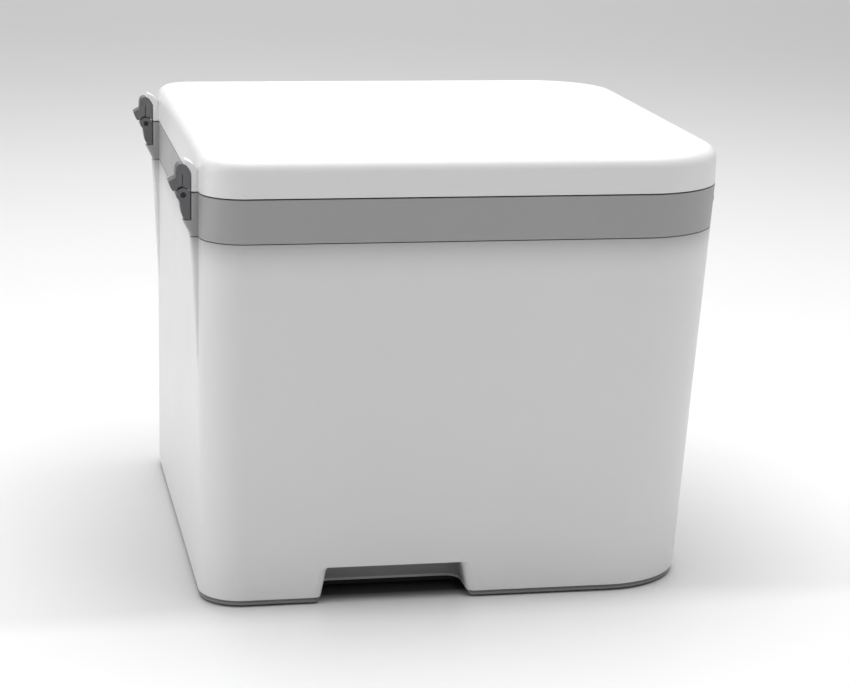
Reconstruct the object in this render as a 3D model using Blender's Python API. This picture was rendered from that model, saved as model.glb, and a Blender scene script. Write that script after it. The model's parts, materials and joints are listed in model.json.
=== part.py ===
"""Filament dryer box: a heated cabinet for four spools under a gasketed, hinged lid.

Axes: +X points to the user's side, where the lid lifts, +Z is up, and the hinges are at -X.
The origin is on the floor, at the centre of the overall footprint. Lengths are in millimetres.
"""
import math

import bmesh
import bpy
from mathutils import Matrix, Vector

MM = 0.001

# Cabinet
LENGTH = 352.8
WIDTH = 368.0
HEIGHT = 300.0
SEAM_Z = 274.4
SEAM_GAP = 1.0
BAND_Z = 245.3
BAND_GAP = 0.6
SHELL_Z = 4.5
USER_LEAN = 0.058
SIDE_LEAN = 0.016
HINGE_CORNER_R = 28.0
USER_CORNER_R = 60.0
WALL = 2.6
GAP = 0.3
CORNER_STEPS = 12
HIDDEN_STEPS = 7

# Reach of what stands proud of the cabinet, on the hinge side and on the user's side
HINGE_REACH = 19.1
OUTLET_REACH = 4.3
HINGE_X = (HINGE_REACH - LENGTH - OUTLET_REACH) / 2
USER_X = HINGE_X + LENGTH

# Lid
LID_BOTTOM = SEAM_Z + SEAM_GAP / 2
LID_FILLET = 9.0
LID_TOP_THICKNESS = 2.8
LINER_Z = (277.4, 279.9)
LINER_FIELD_DROP = 1.2
LINER_EDGE = 3.0
LINER_RIM = (24.0, 26.0)
LINER_SCREWS = ((16.0, 140.0), (29.0, 155.0))
BOSS_R = 4.0
SCREW_R = 1.5
SCREW_HEAD = (1.8, 3.2)
SCREW_TIP_Z = 289.0
MAGNET_INSETS = (3.2, 8.2)
MAGNET_SIZE = (40.0, 3.0)

# Collar and gasket
COLLAR_TOP = SEAM_Z - SEAM_GAP / 2
COLLAR_BOTTOM = BAND_Z + BAND_GAP / 2
RIM_WIDTH = 8.3
RIM_THICKNESS = 3.0
GASKET_INSETS = (4.2, 7.8)

# Hinges: profile points are measured from the hinge face and the floor
HINGE_Y = 148.5
PAD_WIDTH = 12.0
PAD_DEPTH = 4.9
PAD_EDGE_R = 2.0
LEAF_WIDTH = 11.6
PIN_X = -9.7
PIN_Z = 272.7
PIN_R = 1.5
BORE_R = 1.8
KNUCKLE_R = 4.5
KNUCKLE_SLOT = (4.9, 5.2)
LID_KNUCKLE_WIDTH = 4.6
HOOD_OUTSIDE = ((-10.9, 285.3), 10.4)
HOOD_INSIDE = ((-12.0, 286.2), 7.1)
HOOD_ANGLES = (70.0, 76.0)
RIB_BOTTOM = 150.0
WEDGE = ((-6.4, 248.8), (-9.6, 255.2), (-9.2, 256.1))
BODY_LEAF = ((-11.9, 268.4), (-11.2, 262.8), (-10.1, 258.6), (-6.7, 256.5))
BODY_LEAF_FOOT = 256.5
STOP_KNOB = ((-16.4, 275.3), (-17.6, 277.2), (-19.1, 281.4), (-16.8, 282.9), (-14.6, 283.9))
LID_LEAF_BACK = ((-14.4, 288.6), (-13.9, 290.8), (-12.7, 292.3))
KNUCKLE_RELIEF = (5.0, 5.8)
LEAF_GROOVE = ((-10.5, 277.0), (-9.9, 277.0), (-9.9, 286.4), (-10.5, 286.4))
GROOVE_DEPTH = 1.2

# Hand grips, low on both long sides
GRIP_X = -40.2
GRIP_HALF = 50.4
GRIP_TOP = 25.3
GRIP_DRAFT = 0.16
GRIP_DEPTH = 37.0
GRIP_CORNER = 4.5
GRIP_LIP_R = 5.0
GRIP_BACK_R = 10.0

# Base tray and feet
TRAY_Z = (1.2, 4.0)
TRAY_INSET = 1.0
TRAY_CHAMFER = 1.4
BASE_RIB_Z = (3.0, 12.0)
FOOT_R = 9.0
FOOT_RECESS = 1.6
FOOT_PLACES = ((-140.0, -150.0), (125.0, -140.0), (125.0, 140.0), (-140.0, 150.0))

# Spool chamber
TUB_X = (-156.0, 56.0)
TUB_HALF_Y = 158.5
TUB_WALL = 2.0
TUB_FLOOR = 33.0
TUB_CORNER_R = 10.0
DECK_Z = (242.3, 244.8)
LEDGE_Z = (239.0, 242.0)
LEDGE_WIDTH = 9.0
SPOOL_R = 100.0
SPOOL_AXIS = (-50.0, 142.0)
ROLLER_R = 8.0
ROLLER_HALF_PITCH = 55.0
ROLLER_Z = SPOOL_AXIS[1] - math.sqrt((SPOOL_R + ROLLER_R) ** 2 - ROLLER_HALF_PITCH ** 2)
ROLLER_LENGTH = 75.2
ROLLER_BORE_R = 3.25
SHAFT_R = 3.0
BAY_YS = (-116.2, -39.8, 39.8, 116.2)
CRADLE_YS = (-156.0, 0.0, 156.0)
CRADLE_THICKNESS = 3.0
CRADLE_FOOT = 14.0
CRADLE_EYE_R = 10.0
CRADLE_WINDOW = (16.0, 4.0, 2.0)
SHAFT_HALF = 158.0
SENSOR_BOX = ((80.0, 190.0), (104.0, 216.0))
SENSOR_DEPTH = 6.0
SENSOR_VENTS = (195.0, 199.0, 203.0, 207.0)

# Heater and fan, behind the tub's user-side wall
DUCT_SIZE = 92.0
DUCT_Z = 98.0
DUCT_WALL = 3.0
GRILLE_X = (58.3, 60.3)
DUCT_X = (60.6, 98.0)
HEATER_X = (66.0, 86.0)
FAN_X = (98.3, 123.3)
FAN_BORE_R = 43.5
IMPELLER_R = 42.0
IMPELLER_X = (100.5, 113.5)
FAN_BLADES = 7
FAN_HUB_R = 18.0
ROTOR_R = (15.0, 17.0)
BLADE_SIZE = (1.6, 14.0)
BLADE_TWIST = 52.0
SLOT = 3.0

# Desiccant cassette in the deck
CASSETTE_X = (78.0, 158.0)
CASSETTE_HALF_Y = 28.0
CASSETTE_Z = (211.0, 247.1)
CASSETTE_WALL = 2.0
CASSETTE_RIM = 3.0
CASSETTE_SLOTS = (8, 10.0, 8.6)
COVER_THICKNESS = 2.0
COVER_SKIRT = (6.0, 1.6)
COVER_PULL = (24.0, 7.0)

# Control panel, set square to the leaning user's face
PANEL_Z = 195.0
PANEL_SIZE = (150.0, 50.0)
WINDOW_SIZE = (64.0, 28.0)
WINDOW_Y = -32.0
BUTTON_YS = (22.0, 40.0, 58.0)
BUTTON_R = 5.5
BUTTON_TRAVEL = 1.2
PANEL_DEPTH = 4.4
BUTTON_COLLAR = (-7.0, -5.3, 6.6)
BOARD_X = (-12.4, -10.8)
BOARD_YZ = ((-70.0, -22.0), (72.0, 22.0))

# Filament outlets
OUTLET_Z = 259.6
OUTLET_R = 7.0
OUTLET_TIP = 4.9
TUBE_R = 2.1

# Power and vent, on the far long side
INLET_PLACE = (86.0, 45.0)
INLET_SIZE = (48.0, 28.0)
SWITCH_PLACE = (86.0, 82.0)
SWITCH_SIZE = (20.0, 26.0)
VENT_PLACE = (78.0, 190.0)
VENT_SIZE = (64.0, 42.0)
VENT_SLOTS = 5
VENT_PITCH = 10.0
VENT_TRAVEL = 5.0
SUPPLY_BOX = ((80.0, -130.0, 4.4), (140.0, -30.0, 40.0))


# ---------------------------------------------------------------- scene and materials

def clear_scene():
    for item in list(bpy.data.objects):
        bpy.data.objects.remove(item, do_unlink=True)


def plastic(name, colour, roughness, metallic=0.0, alpha=1.0):
    """A Principled material with the part's colour and gloss."""
    finish = bpy.data.materials.new(name)
    finish.use_nodes = True
    shader = finish.node_tree.nodes["Principled BSDF"]
    shader.inputs["Base Color"].default_value = (*colour, 1.0)
    shader.inputs["Roughness"].default_value = roughness
    shader.inputs["Metallic"].default_value = metallic
    shader.inputs["Alpha"].default_value = alpha
    return finish


def add_part(name, solid, finish, pivot=(0.0, 0.0, 0.0), turn=None):
    """Make a named object from a solid in millimetres, with its origin at the pivot.

    turn carries the solid from its own frame into the cabinet's frame.
    """
    if turn is not None:
        bmesh.ops.transform(solid, matrix=turn, verts=solid.verts)
    origin = Vector(pivot)
    for vertex in solid.verts:
        vertex.co = (vertex.co - origin) * MM
    mesh = bpy.data.meshes.new(name)
    solid.to_mesh(mesh)
    solid.free()
    mesh.materials.append(finish)
    mesh.shade_smooth()
    mesh.set_sharp_from_angle(angle=math.radians(35))
    part = bpy.data.objects.new(name, mesh)
    part.location = origin * MM
    bpy.context.scene.collection.objects.link(part)
    return part


# ---------------------------------------------------------------- solids

def loft(rings, closed=False):
    """Skin a stack of equal rings of points: capped at its ends, or closed on itself."""
    solid = bmesh.new()
    loops = [[solid.verts.new(point) for point in ring] for ring in rings]
    pairs = list(zip(loops, loops[1:]))
    if closed:
        pairs.append((loops[-1], loops[0]))
    count = len(loops[0])
    for low, high in pairs:
        for i in range(count):
            j = (i + 1) % count
            solid.faces.new((low[i], low[j], high[j], high[i]))
    if not closed:
        solid.faces.new(loops[0][::-1])
        solid.faces.new(loops[-1])
    bmesh.ops.recalc_face_normals(solid, faces=solid.faces)
    return solid


def rounded_ring(low, high, radii, z, steps=CORNER_STEPS):
    """A level rounded rectangle; radii are those of the low-X and the high-X corners."""
    (x0, y0), (x1, y1) = low, high
    r0, r1 = (max(radius, 0.5) for radius in radii)
    corners = (((x0 + r0, y0 + r0), r0, 180), ((x1 - r1, y0 + r1), r1, 270),
               ((x1 - r1, y1 - r1), r1, 0), ((x0 + r0, y1 - r0), r0, 90))
    return [(x + r * math.cos(math.radians(start + 90 * k / steps)),
             y + r * math.sin(math.radians(start + 90 * k / steps)), z)
            for (x, y), r, start in corners for k in range(steps + 1)]


def user_face_x(z):
    return USER_X - USER_LEAN * max(SEAM_Z - z, 0.0)


def side_face_y(z):
    return WIDTH / 2 - SIDE_LEAN * max(SEAM_Z - z, 0.0)


def footprint(z, inset=0.0, steps=CORNER_STEPS):
    """The cabinet's outline at a height, moved inwards by an inset."""
    half = side_face_y(z) - inset
    radii = (HINGE_CORNER_R - inset, USER_CORNER_R - inset)
    low, high = (HINGE_X + inset, -half), (user_face_x(z) - inset, half)
    return rounded_ring(low, high, radii, z, steps)


def box(low, high):
    (x0, y0, z0), (x1, y1, z1) = low, high
    corners = ((x0, y0), (x1, y0), (x1, y1), (x0, y1))
    return loft([[(x, y, z) for x, y in corners] for z in (z0, z1)])


def prism_y(profile, y0, y1):
    """Extrude an outline of (x, z) points along Y."""
    return loft([[(x, y, z) for x, z in profile] for y in (y0, y1)])


def arc(centre, radius, start, stop, steps):
    """Points on an arc, in degrees, both ends included."""
    return [(centre[0] + radius * math.cos(math.radians(start + (stop - start) * k / steps)),
             centre[1] + radius * math.sin(math.radians(start + (stop - start) * k / steps)))
            for k in range(steps + 1)]


def turned(axis, centre, profile, steps=24, closed=False):
    """Turn a profile of (distance along the axis, radius) about an axis 'X', 'Y' or 'Z'."""
    place = {"X": lambda a, u, v: (a, u, v), "Y": lambda a, u, v: (v, a, u),
             "Z": lambda a, u, v: (u, v, a)}[axis]
    rings = []
    for along, radius in profile:
        ring = []
        for k in range(steps):
            angle = 2 * math.pi * k / steps
            offset = place(along, radius * math.cos(angle), radius * math.sin(angle))
            ring.append(tuple(c + o for c, o in zip(centre, offset)))
        rings.append(ring)
    return loft(rings, closed)


def rod(axis, centre, start, stop, radius, steps=24):
    return turned(axis, centre, ((start, radius), (stop, radius)), steps)


def sleeve(axis, centre, start, stop, outer, inner, steps=24):
    profile = ((start, outer), (stop, outer), (stop, inner), (start, inner))
    return turned(axis, centre, profile, steps, closed=True)


def combine(solid, tools, operation):
    """Join tools to a solid, or cut them from it, and free them."""
    def holder(source):
        mesh = bpy.data.meshes.new("holder")
        source.to_mesh(mesh)
        source.free()
        item = bpy.data.objects.new("holder", mesh)
        bpy.context.scene.collection.objects.link(item)
        return item

    target = holder(solid)
    helpers = [holder(tool) for tool in tools]
    for helper in helpers:
        step = target.modifiers.new("step", "BOOLEAN")
        step.operation = operation
        step.object = helper
    bpy.context.view_layer.update()
    result = bmesh.new()
    evaluated = target.evaluated_get(bpy.context.evaluated_depsgraph_get())
    result.from_mesh(evaluated.to_mesh())
    evaluated.to_mesh_clear()
    for item in (target, *helpers):
        bpy.data.objects.remove(item, do_unlink=True)
    return result


def join(solid, *tools):
    return combine(solid, tools, "UNION")


def cut(solid, *tools):
    return combine(solid, tools, "DIFFERENCE")


# ---------------------------------------------------------------- hinge geometry

def on_hinge_face(points):
    """Profile points measured from the hinge face, in the cabinet's frame."""
    return [(HINGE_X + x, z) for x, z in points]


def pad_span(side):
    return side * HINGE_Y - PAD_WIDTH / 2, side * HINGE_Y + PAD_WIDTH / 2


def hood_profile():
    """The lid's pad, which curls outwards over the top of the hinge."""
    (inside, inner), (outside, outer) = HOOD_INSIDE, HOOD_OUTSIDE
    return ([(WALL / 2, LID_BOTTOM), (-PAD_DEPTH, LID_BOTTOM)]
            + arc(inside, inner, 0, HOOD_ANGLES[0], 6)
            + arc(outside, outer, HOOD_ANGLES[1], 0, 8)
            + [(WALL / 2, outside[1])])


def collar_pad_profile():
    """The collar's pad, with the wedge that stands under the hinge."""
    return [(WALL / 2, COLLAR_BOTTOM), (-PAD_DEPTH, COLLAR_BOTTOM), *WEDGE,
            (-PAD_DEPTH, BODY_LEAF_FOOT - GAP), (-PAD_DEPTH, COLLAR_TOP),
            (WALL / 2, COLLAR_TOP)]


def rib_profile():
    """The body's rib below the pad, fading into the wall."""
    top = BAND_Z - BAND_GAP / 2
    fade = [(-PAD_DEPTH * k / 6, RIB_BOTTOM + (top - RIB_BOTTOM) * k / 6) for k in range(7)]
    return fade + [(WALL / 2, top), (WALL / 2, RIB_BOTTOM)]


def pads(profile):
    """Both pads of a profile, with their upright outer edges rounded up to the hood's curl."""
    made, curl = [], HOOD_INSIDE[0][1]
    for side in (-1, 1):
        low, high = pad_span(side)
        ends = [(low + PAD_EDGE_R * (1 - math.cos(turn)), PAD_EDGE_R * (1 - math.sin(turn)))
                for turn in (math.radians(angle) for angle in (0, 30, 60, 90))]
        ends += [(low + high - y, sink) for y, sink in reversed(ends)]
        made.append(loft([[(HINGE_X + (min(x + sink, WALL / 2) if z <= curl else x), y, z)
                           for x, z in profile] for y, sink in ends]))
    return made


# ---------------------------------------------------------------- lid

def make_lid(white, grey, rubber, steel):
    fillet = [(LID_FILLET * (1 - math.cos(math.radians(a))),
               HEIGHT - LID_FILLET + LID_FILLET * math.sin(math.radians(a)))
              for a in (0, 15, 30, 45, 60, 75, 90)]
    ceiling = HEIGHT - LID_TOP_THICKNESS
    rings = [footprint(ceiling, WALL + 4), footprint(ceiling - 4, WALL)]
    rings += [footprint(LID_BOTTOM, WALL), footprint(LID_BOTTOM)]
    rings += [footprint(z, inset) for inset, z in fillet]
    bosses = [rod("Z", (x, y, 0), LINER_Z[1] + GAP, ceiling + 1, BOSS_R, 12)
              for x, y in liner_screw_places()]
    holes = [rod("Z", (x, y, 0), LINER_Z[1], SCREW_TIP_Z + 2, SCREW_R + 0.4, 12)
             for x, y in liner_screw_places()]
    shell = join(loft(rings), *pads(hood_profile()), *bosses)
    add_part("lid_shell", cut(shell, *holes), white, hinge_pivot())

    top, bottom = LINER_Z[1], LINER_Z[0]
    levels = ((top, LINER_EDGE), (bottom, LINER_EDGE), (bottom, LINER_RIM[0]),
              (bottom - LINER_FIELD_DROP, LINER_RIM[1]))
    field = [footprint(z, inset, HIDDEN_STEPS) for z, inset in levels]
    clearance = [rod("Z", (x, y, 0), bottom - 2, top + 1, SCREW_R + 0.4, 12)
                 for x, y in liner_screw_places()]
    add_part("lid_liner", cut(loft(field), *clearance), grey, hinge_pivot())
    for number, (x, y) in enumerate(liner_screw_places(), 1):
        head, (thick, wide) = bottom - GAP, SCREW_HEAD
        profile = ((head - thick, wide / 2), (head - thick + 0.4, wide - 0.2), (head, wide),
                   (head, SCREW_R), (SCREW_TIP_Z, SCREW_R))
        add_part(f"liner_screw_{number}", turned("Z", (x, y, 0), profile, 12), steel,
                 hinge_pivot())

    low, high = COLLAR_TOP + GAP, bottom - GAP
    outer, inner = GASKET_INSETS
    section = ((low, outer), (high, outer), (high, inner), (low, inner))
    seal = [footprint(z, inset, HIDDEN_STEPS) for z, inset in section]
    add_part("lid_gasket", loft(seal, closed=True), rubber, hinge_pivot())
    bar = magnet(top + GAP)
    add_part("lid_magnet", bar, steel, hinge_pivot())


def magnet(bottom):
    """A bar magnet behind the user's face."""
    near, far = MAGNET_INSETS
    length, thickness = MAGNET_SIZE
    return box((USER_X - far, -length / 2, bottom), (USER_X - near, length / 2, bottom + thickness))


def liner_screw_places():
    (hinge_inset, hinge_y), (user_inset, user_y) = LINER_SCREWS
    return ((HINGE_X + hinge_inset, -hinge_y), (USER_X - user_inset, -user_y),
            (USER_X - user_inset, user_y), (HINGE_X + hinge_inset, hinge_y))


def hinge_pivot():
    return HINGE_X + PIN_X, 0.0, PIN_Z


# ---------------------------------------------------------------- hinges

def make_hinge(name, side, iron, steel):
    """One hinge: the leaf on the lid with its stop knob, the leaf on the collar, the pin."""
    pin = (PIN_X, PIN_Z)
    centre_y = side * HINGE_Y
    on_axis = (HINGE_X + PIN_X, centre_y, PIN_Z)
    half = LEAF_WIDTH / 2
    back = -PAD_DEPTH - GAP
    bore = rod("Y", on_axis, -10, 10, BORE_R, 16)

    lower = arc(pin, KNUCKLE_R, 0, 195, 12)
    lower += [*BODY_LEAF, (back, BODY_LEAF_FOOT)]
    leaf = prism_y(on_hinge_face(lower), centre_y - half, centre_y + half)
    slot_r, slot_width = KNUCKLE_SLOT
    slot = rod("Y", on_axis, -slot_width / 2, slot_width / 2, slot_r, 24)
    add_part(f"{name}_body_leaf", cut(leaf, slot, bore.copy()), iron, on_axis)

    upper = arc(pin, KNUCKLE_RELIEF[0], 26, 92, 6) + arc(pin, KNUCKLE_RELIEF[1], 96, 150, 6)
    upper += [*STOP_KNOB, *LID_LEAF_BACK]
    upper += arc(HOOD_INSIDE[0], HOOD_INSIDE[1] - GAP, 84, 0, 8)
    plate = prism_y(on_hinge_face(upper), centre_y - half, centre_y + half)
    width = LID_KNUCKLE_WIDTH / 2
    knuckle = rod("Y", on_axis, -width, width, KNUCKLE_R, 24)
    web = prism_y(on_hinge_face([(PIN_X - 3, PIN_Z), (PIN_X + 3, PIN_Z),
                                 (PIN_X + 3, PIN_Z + 7), (PIN_X - 3, PIN_Z + 7)]),
                  centre_y - width, centre_y + width)
    groove = [prism_y(on_hinge_face(LEAF_GROOVE),
                      *sorted((centre_y + end * (half + 1),
                               centre_y + end * (half - GROOVE_DEPTH))))
              for end in (-1, 1)]
    plate = cut(join(plate, knuckle, web), bore, *groove)
    add_part(f"{name}_lid_leaf", plate, iron, on_axis)

    length = LEAF_WIDTH / 2 - 0.4
    add_part(f"{name}_pin", rod("Y", on_axis, -length, length, PIN_R, 16), steel, on_axis)


# ---------------------------------------------------------------- collar, body and base

def leaning_frame(z):
    """Carries X outwards from the user's face at a height, square to its lean."""
    tilt = Matrix.Rotation(math.atan(USER_LEAN), 4, "Y")
    return Matrix.Translation((user_face_x(z), 0, z)) @ tilt


def side_frame(place):
    """Carries Y outwards from the far long side at (x, z), square to its lean."""
    x, z = place
    tilt = Matrix.Rotation(-math.atan(SIDE_LEAN), 4, "X")
    return Matrix.Translation((x, side_face_y(z), z)) @ tilt


def turned_tool(solid, turn):
    bmesh.ops.transform(solid, matrix=turn, verts=solid.verts)
    return solid


def upright(size, depth, corner=4.0, centre=(0.0, 0.0), axis="X"):
    """A rounded plate standing square to X or Y; depth is its range along that axis."""
    (width, height), (a, b) = size, centre
    ring = rounded_ring((a - width / 2, b - height / 2), (a + width / 2, b + height / 2),
                        (corner, corner), 0.0, 5)
    if axis == "X":
        return loft([[(d, u, v) for u, v, _ in ring] for d in depth])
    return loft([[(u, d, v) for u, v, _ in ring] for d in depth])


def make_collar(grey, steel):
    rings = [footprint(COLLAR_BOTTOM), footprint(COLLAR_TOP), footprint(COLLAR_TOP, RIM_WIDTH),
             footprint(COLLAR_TOP - RIM_THICKNESS, RIM_WIDTH),
             footprint(COLLAR_TOP - RIM_THICKNESS, WALL), footprint(COLLAR_BOTTOM, WALL)]
    collar = join(loft(rings, closed=True), *pads(collar_pad_profile()))
    scoop = prism_y([(USER_X - 4, COLLAR_TOP + 1), (USER_X + 1, COLLAR_TOP + 1),
                     (USER_X + 1, 266.0), (USER_X - 0.6, 266.0)], -30, 30)
    bores = [turned_tool(rod("X", (0, y, 0), -8, 4, 4.6, 20), leaning_frame(OUTLET_Z))
             for y in BAY_YS]
    add_part("collar_band", cut(collar, scoop, *bores), grey)
    top = COLLAR_TOP - RIM_THICKNESS - GAP
    add_part("collar_magnet", magnet(top - MAGNET_SIZE[1]), steel)


def grip_outline(margin, floor):
    """The grip's opening as (x, z) points: drafted sides and rounded upper corners."""
    top = GRIP_TOP + margin
    half_top = GRIP_HALF - GRIP_DRAFT * top + margin
    half_low = GRIP_HALF - GRIP_DRAFT * floor + margin
    radius = GRIP_CORNER + max(margin, 0.0)
    right = arc((GRIP_X + half_top - radius, top - radius), radius, 0, 90, 6)
    left = arc((GRIP_X - half_top + radius, top - radius), radius, 90, 180, 6)
    return [(GRIP_X + half_low, floor)] + right + left + [(GRIP_X - half_low, floor)]


def grip_block(side, margin, front, floor):
    """The grip's space grown by a margin, with lips rounded outwards and back corners inwards."""
    face, back = side_face_y(SHELL_Z), WIDTH / 2 - GRIP_DEPTH
    sections = [(front, -GRIP_LIP_R)]
    for angle in (0, 20, 45, 68, 90):
        turn = math.radians(angle)
        y = face - GRIP_LIP_R * (1 - math.cos(turn))
        if y < front - GAP:
            sections.append((y, -GRIP_LIP_R * (1 - math.sin(turn))))
    for angle in (0, 22.5, 45, 67.5, 90):
        turn = math.radians(angle)
        depth = back - margin + GRIP_BACK_R * (1 - math.sin(turn))
        sections.append((depth, GRIP_BACK_R * (1 - math.cos(turn))))
    rings = []
    for y, shrink in sections:
        scale = (GRIP_HALF - shrink) / GRIP_HALF
        rings.append([(GRIP_X + (x - GRIP_X) * scale, side * y, z)
                      for x, z in grip_outline(margin, floor)])
    return loft(rings)


def make_body(white):
    top = BAND_Z - BAND_GAP / 2
    ledge = LEDGE_WIDTH
    rings = [footprint(SHELL_Z), footprint(top), footprint(top, WALL),
             footprint(LEDGE_Z[1], WALL), footprint(LEDGE_Z[1], ledge),
             footprint(LEDGE_Z[0], ledge), footprint(LEDGE_Z[0], WALL),
             footprint(SHELL_Z, WALL)]
    front = side_face_y(SHELL_Z)
    housings = [grip_block(side, WALL, front - 1.0, SHELL_Z) for side in (-1, 1)]
    spaces = [grip_block(side, 0.0, front + 5.0, SHELL_Z - 5.0) for side in (-1, 1)]
    shell = join(loft(rings, closed=True), *pads(rib_profile()), *housings)
    openings = [turned_tool(upright(PANEL_SIZE, (-8, 4), 6.0), leaning_frame(PANEL_Z))]
    for place, size in ((INLET_PLACE, INLET_SIZE), (SWITCH_PLACE, SWITCH_SIZE),
                        (VENT_PLACE, VENT_SIZE)):
        openings.append(turned_tool(upright(size, (-8, 4), 3.0, axis="Y"), side_frame(place)))
    add_part("body_shell", cut(shell, *spaces, *openings), white)


def make_base(edging, rubber):
    low, high = TRAY_Z
    rings = [footprint(low, TRAY_INSET), footprint(high - TRAY_CHAMFER, TRAY_INSET),
             footprint(high, TRAY_INSET + TRAY_CHAMFER)]
    ribs = [box((-60, y - 1, BASE_RIB_Z[0]), (40, y + 1, BASE_RIB_Z[1])) for y in (-120, 120)]
    ribs += [box((x - 1, -100, BASE_RIB_Z[0]), (x + 1, 100, BASE_RIB_Z[1])) for x in (-160, 150)]
    tray = join(loft(rings), *ribs)
    outside = WIDTH / 2 + 5
    cuts = [grip_block(side, TRAY_INSET, outside, -5.0) for side in (-1, 1)]
    cuts += [rod("Z", (x, y, 0), 0, low + FOOT_RECESS, FOOT_R + 0.5, 16) for x, y in FOOT_PLACES]
    add_part("base_tray", cut(tray, *cuts), edging)
    for number, (x, y) in enumerate(FOOT_PLACES, 1):
        top = low + FOOT_RECESS - GAP
        profile = ((0.0, FOOT_R - 0.8), (0.8, FOOT_R), (top, FOOT_R))
        add_part(f"foot_{number}", turned("Z", (x, y, 0), profile, 16), rubber)


# ---------------------------------------------------------------- spool chamber

def make_tub(grey):
    """The spool chamber, hung in the body by the deck around its mouth."""
    (x0, x1), half = TUB_X, TUB_HALF_Y
    inner = ((x0, -half), (x1, half), (TUB_CORNER_R, TUB_CORNER_R))
    outer = ((x0 - TUB_WALL, -half - TUB_WALL), (x1 + TUB_WALL, half + TUB_WALL),
             (TUB_CORNER_R + TUB_WALL,) * 2)
    low, high = DECK_Z
    steps = HIDDEN_STEPS
    rings = [rounded_ring(*inner, TUB_FLOOR, steps), rounded_ring(*inner, high, steps),
             footprint(high, WALL + 0.4, steps), footprint(low, WALL + 0.4, steps),
             rounded_ring(*outer, low, steps),
             rounded_ring(*outer, TUB_FLOOR - TUB_WALL, steps)]
    hot_air = box((x1 - 2, -42, DUCT_Z - 42), (x1 + 4, 42, DUCT_Z + 42))
    (c0, c1), depth = CASSETTE_X, CASSETTE_HALF_Y
    well = box((c0 - 0.4, -depth - 0.4, low - 2), (c1 + 0.4, depth + 0.4, high + 2))
    add_part("spool_chamber", cut(loft(rings), hot_air, well), grey)


def roller_xs():
    return SPOOL_AXIS[0] - ROLLER_HALF_PITCH, SPOOL_AXIS[0] + ROLLER_HALF_PITCH


def make_rollers(grey, rubber, steel):
    """Two fixed shafts in three cradle plates, with a free sleeve for each spool on each."""
    near, far = roller_xs()
    foot = TUB_FLOOR + GAP
    outline = [(near - CRADLE_FOOT, foot), (far + CRADLE_FOOT, foot)]
    outline += arc((far, ROLLER_Z), CRADLE_EYE_R, 0, 120, 6)
    outline += arc((near, ROLLER_Z), CRADLE_EYE_R, 60, 180, 6)
    inset, above, below = CRADLE_WINDOW
    for number, y in enumerate(CRADLE_YS, 1):
        plate = prism_y(outline, y - CRADLE_THICKNESS / 2, y + CRADLE_THICKNESS / 2)
        holes = [rod("Y", (x, y, ROLLER_Z), -5, 5, SHAFT_R + GAP, 16) for x in (near, far)]
        window = prism_y([(near + inset, foot + above), (far - inset, foot + above),
                          (far - inset, ROLLER_Z - below), (near + inset, ROLLER_Z - below)],
                         y - 5, y + 5)
        add_part(f"roller_cradle_{number}", cut(plate, *holes, window), grey)
    for name, x in (("rear", near), ("user_side", far)):
        shaft = rod("Y", (x, 0, ROLLER_Z), -SHAFT_HALF, SHAFT_HALF, SHAFT_R, 16)
        add_part(f"roller_shaft_{name}", shaft, steel)
        for number, y in enumerate(BAY_YS, 1):
            axis = (x, y, ROLLER_Z)
            half = ROLLER_LENGTH / 2
            roller = sleeve("Y", axis, -half, half, ROLLER_R, ROLLER_BORE_R, 16)
            add_part(f"roller_{name}_{number}", roller, rubber, axis)


# ---------------------------------------------------------------- heater and fan

def slots_x(x_range, count, pitch, half_height, width=SLOT, centre=(0.0, DUCT_Z)):
    """Cutters for a row of upright slots through a plate that faces X."""
    y, z = centre
    places = [y + pitch * (k - (count - 1) / 2) for k in range(count)]
    return [box((x_range[0] - 2, place - width / 2, z - half_height),
                (x_range[1] + 2, place + width / 2, z + half_height)) for place in places]


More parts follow.
